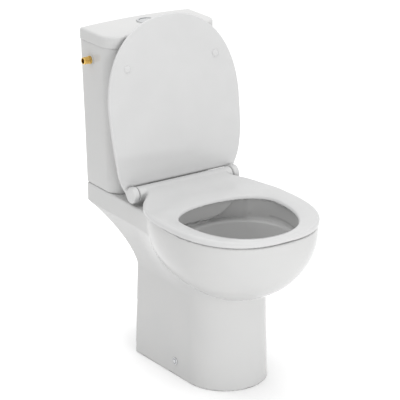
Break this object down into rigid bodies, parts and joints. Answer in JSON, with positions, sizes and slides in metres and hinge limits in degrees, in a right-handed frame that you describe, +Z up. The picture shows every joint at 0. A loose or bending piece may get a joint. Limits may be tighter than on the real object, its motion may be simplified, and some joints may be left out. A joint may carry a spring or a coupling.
{
  "type": "close coupled toilet",
  "caption": "White ceramic close coupled toilet: pan with exposed trap and open-backed foot, cistern with dual push button on its lid, hinged seat and raised cover.",
  "frame": {"origin": "on the floor, on the centre line, in the middle of the pan's foot", "axes": "+Z up, +Y towards the wall behind the cistern, +X to the left of a person sitting on it; the user's side is -Y"},
  "size_m": [0.364, 0.6197, 0.8276],
  "materials": {
    "ceramic": "gloss white glaze",
    "seat_plastic": "polished white",
    "valve_plastic": "moulded, pale",
    "grey_plastic": "moulded, grey",
    "pale_rubber": "soft, pale",
    "black_rubber": "matt black",
    "chrome": "polished",
    "steel": "zinc plated",
    "brass": "machined"
  },
  "bodies": {
    "root": {"button_collar": "chrome", "cistern_lid": "ceramic", "cistern_tank": "ceramic", "collar_nut": "valve_plastic", "coupling_gasket": "black_rubber", "fill_valve_body": "valve_plastic", "floor_brackets": "steel", "flush_valve_base": "valve_plastic", "flush_valve_tower": "valve_plastic", "full_button_spring": "steel", "half_button_spring": "steel", "hinge_bolts": "steel", "hinge_pins": "steel", "hinge_posts": "chrome", "hinge_wing_nuts": "valve_plastic", "inlet_backnut": "brass", "inlet_flange": "valve_plastic", "inlet_tail": "brass", "inlet_washer": "black_rubber", "lever_bracket": "valve_plastic", "pan_bowl": "ceramic", "pan_channel": "ceramic", "pan_deck": "ceramic", "pan_flanks": "ceramic", "pan_foot": "ceramic", "pan_outlet": "ceramic", "pan_rim": "ceramic", "pan_sump": "ceramic", "pan_throat": "ceramic", "pan_trap": "ceramic", "screw_caps": "chrome", "side_screws": "steel", "tank_bolt_washers": "black_rubber", "tank_bolts": "steel", "tank_seal": "black_rubber", "tank_wing_nuts": "valve_plastic", "valve_backnut": "valve_plastic"},
    "seat": {"seat_ring": "seat_plastic", "seat_buffers": "pale_rubber"},
    "cover": {"seat_cover": "seat_plastic", "cover_buffers": "pale_rubber"},
    "full_button": {"full_flush_button": "chrome", "full_push_rod": "valve_plastic"},
    "half_button": {"half_flush_button": "chrome", "half_push_rod": "valve_plastic"},
    "flush_plunger": {"overflow_tube": "valve_plastic", "valve_seal": "black_rubber"},
    "float": {"fill_float": "grey_plastic"},
    "float_arm": {"float_lever": "grey_plastic"}
  },
  "joints": [
    {"name": "seat_hinge", "type": "hinge", "parent": "root", "child": "seat", "pos_m": [0, 0.108, 0.427], "axis": [-1, 0, 0], "range_deg": [0, 99]},
    {"name": "cover_hinge", "type": "hinge", "parent": "root", "child": "cover", "pos_m": [0, 0.108, 0.427], "axis": [-1, 0, 0], "range_deg": [-99.15, 0]},
    {"name": "plunger_lift", "type": "slide", "parent": "root", "child": "flush_plunger", "axis": [0, 0, 1], "range_m": [0, 0.024]},
    {"name": "full_flush_press", "type": "slide", "parent": "root", "child": "full_button", "axis": [0, 0, -1], "range_m": [0, 0.006], "stiffness_N_per_m": 200, "springref_m": -0.003, "deforming": ["full_button_spring"]},
    {"name": "half_flush_press", "type": "slide", "parent": "root", "child": "half_button", "axis": [0, 0, -1], "range_m": [0, 0.006], "stiffness_N_per_m": 200, "springref_m": -0.003, "deforming": ["half_button_spring"]},
    {"name": "float_rise", "type": "slide", "parent": "root", "child": "float", "axis": [0, 0, 1], "range_m": [0, 0.018]},
    {"name": "lever_turn", "type": "hinge", "parent": "root", "child": "float_arm", "pos_m": [-0.112, 0.27, 0.744], "axis": [0, -1, 0], "range_deg": [0, 37]}
  ],
  "couplings": [
    {"joint": "full_flush_press", "follows": "plunger_lift", "ratio": 0.25},
    {"joint": "lever_turn", "follows": "float_rise", "rad_per_m": 35.714}
  ]
}
